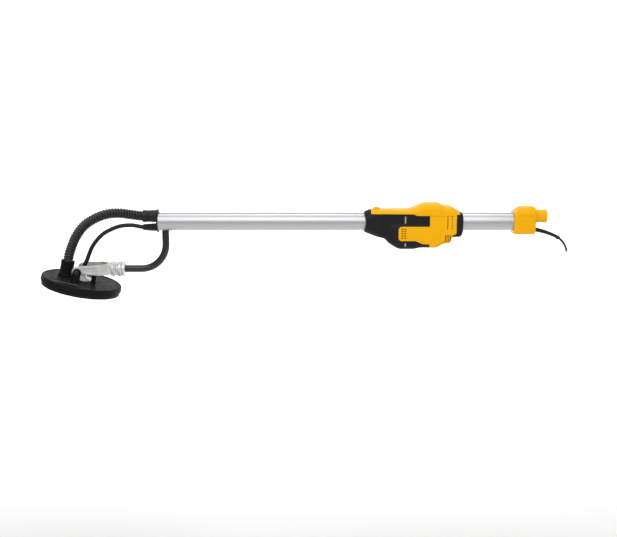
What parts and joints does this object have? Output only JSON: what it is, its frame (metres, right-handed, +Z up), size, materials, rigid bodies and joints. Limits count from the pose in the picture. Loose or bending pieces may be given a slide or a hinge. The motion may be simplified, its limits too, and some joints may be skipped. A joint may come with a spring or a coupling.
{
  "type": "pole drywall sander",
  "caption": "Long-reach electric sander: round pad head in a tilting fork on an aluminium pole, flexible drive cable and dust hose, motor housing, vacuum spigot and mains cord.",
  "frame": {"origin": "on the pole's axis inside the motor housing, where a hand holds the tool", "axes": "+X along the pole towards the mains cord, +Z up from the pole as the tool is held level, +Y to the side that has the speed dial"},
  "size_m": [1.629, 0.245, 0.291],
  "materials": {
    "aluminium": "satin drawn tube, clear anodised",
    "cast_aluminium": "die cast, fine matt grain",
    "steel": "machined, zinc plated",
    "black_steel": "gloss black powder coat",
    "black_plastic": "moulded, fine spark texture",
    "black_rubber": "matt rubber",
    "bristle": "dense nylon bristles",
    "foam": "closed-cell foam",
    "abrasive": "sanding mesh with coarse grit",
    "yellow_plastic": "moulded, satin",
    "copper": "copper windings and steel laminations",
    "brass": "bright stamped brass"
  },
  "bodies": {
    "root": {"front_tube": "aluminium", "rear_tube": "aluminium", "front_cap": "black_plastic", "hose_cuff": "black_rubber", "dust_hose_upper": "black_rubber", "cable_boot": "black_rubber", "sheath_upper": "black_rubber", "support_tube": "black_steel", "pole_spacer": "black_plastic", "dust_pipe_front": "black_plastic", "dust_pipe_motor": "black_plastic", "dust_pipe_rear": "black_plastic", "grip_shell_near": "black_plastic", "grip_shell_far": "black_plastic", "motor_shell_near": "yellow_plastic", "motor_shell_far": "yellow_plastic", "top_cover": "yellow_plastic", "rear_bumper": "black_rubber", "stator": "steel", "armature_bearing_front": "steel", "armature_bearing_rear": "steel", "switch_body": "black_plastic", "housing_screw_1": "steel", "housing_screw_2": "steel", "end_shell_near": "yellow_plastic", "end_shell_far": "yellow_plastic", "hose_spigot": "yellow_plastic", "strain_relief": "black_rubber", "cord_lead": "black_rubber", "cord_hank": "black_rubber", "cord_tie": "black_rubber", "plug_body": "black_rubber", "plug_blade_1": "brass", "plug_blade_2": "brass"},
    "yoke": {"yoke": "cast_aluminium", "swivel_nut": "cast_aluminium"},
    "head": {"head_shroud": "black_plastic", "hub_housing": "cast_aluminium", "cable_nut": "cast_aluminium", "hub_bearing": "steel", "pivot_bolt_near": "black_steel", "pivot_bolt_far": "black_steel", "dust_hose_lower": "black_rubber", "sheath_lower": "black_rubber"},
    "skirt": {"skirt_ring": "black_plastic", "skirt_bristles": "bristle"},
    "pad": {"spindle": "steel", "backing_pad": "black_plastic", "foam_pad": "foam", "abrasive_disc": "abrasive", "pad_bolt": "steel"},
    "output": {"output_gear": "steel", "drive_shaft": "steel"},
    "idler": {"idler_gear": "steel"},
    "armature": {"armature": "copper", "motor_fan": "black_plastic", "motor_pinion": "steel"},
    "rocker": {"switch_rocker": "yellow_plastic"},
    "dial": {"speed_dial": "black_plastic"}
  },
  "joints": [
    {"name": "yoke_roll", "type": "hinge", "parent": "root", "child": "yoke", "pos_m": [-0.905, 0, -0.1457], "axis": [1, 0, 0], "range_deg": [-35, 35], "deforming": ["dust_hose_upper", "sheath_upper"]},
    {"name": "head_pitch", "type": "hinge", "parent": "yoke", "child": "head", "pos_m": [-1.024, 0, -0.15], "axis": [0, 1, 0], "range_deg": [-12, 60], "deforming": ["dust_hose_lower", "sheath_lower"]},
    {"name": "skirt_float", "type": "slide", "parent": "head", "child": "skirt", "axis": [0.2164, 0, 0.9763], "range_m": [0, 0.005], "stiffness_N_per_m": 400, "springref_m": -0.005},
    {"name": "pad_spin", "type": "hinge", "parent": "head", "child": "pad", "pos_m": [-1.02506, 0, -0.20098], "axis": [-0.2164, 0, -0.9763], "continuous": true},
    {"name": "drive_shaft_spin", "type": "hinge", "parent": "root", "child": "output", "pos_m": [-0.4, 0, -0.017], "axis": [-1, 0, 0], "continuous": true},
    {"name": "idler_spin", "type": "hinge", "parent": "root", "child": "idler", "pos_m": [-0.055, 0.01582, -0.0284], "axis": [-1, 0, 0], "continuous": true},
    {"name": "armature_spin", "type": "hinge", "parent": "root", "child": "armature", "pos_m": [0.02, 0, -0.038], "axis": [-1, 0, 0], "continuous": true},
    {"name": "switch_rock", "type": "hinge", "parent": "root", "child": "rocker", "pos_m": [-0.115, 0, 0.036], "axis": [0, 1, 0], "range_deg": [-7, 7]},
    {"name": "speed_dial_turn", "type": "hinge", "parent": "root", "child": "dial", "pos_m": [0.062, 0.042, 0.004], "axis": [0, 1, 0], "range_deg": [0, 270]}
  ],
  "couplings": [
    {"joint": "drive_shaft_spin", "follows": "pad_spin", "ratio": 1},
    {"joint": "idler_spin", "follows": "pad_spin", "ratio": -2.9},
    {"joint": "armature_spin", "follows": "pad_spin", "ratio": 9.0222}
  ]
}
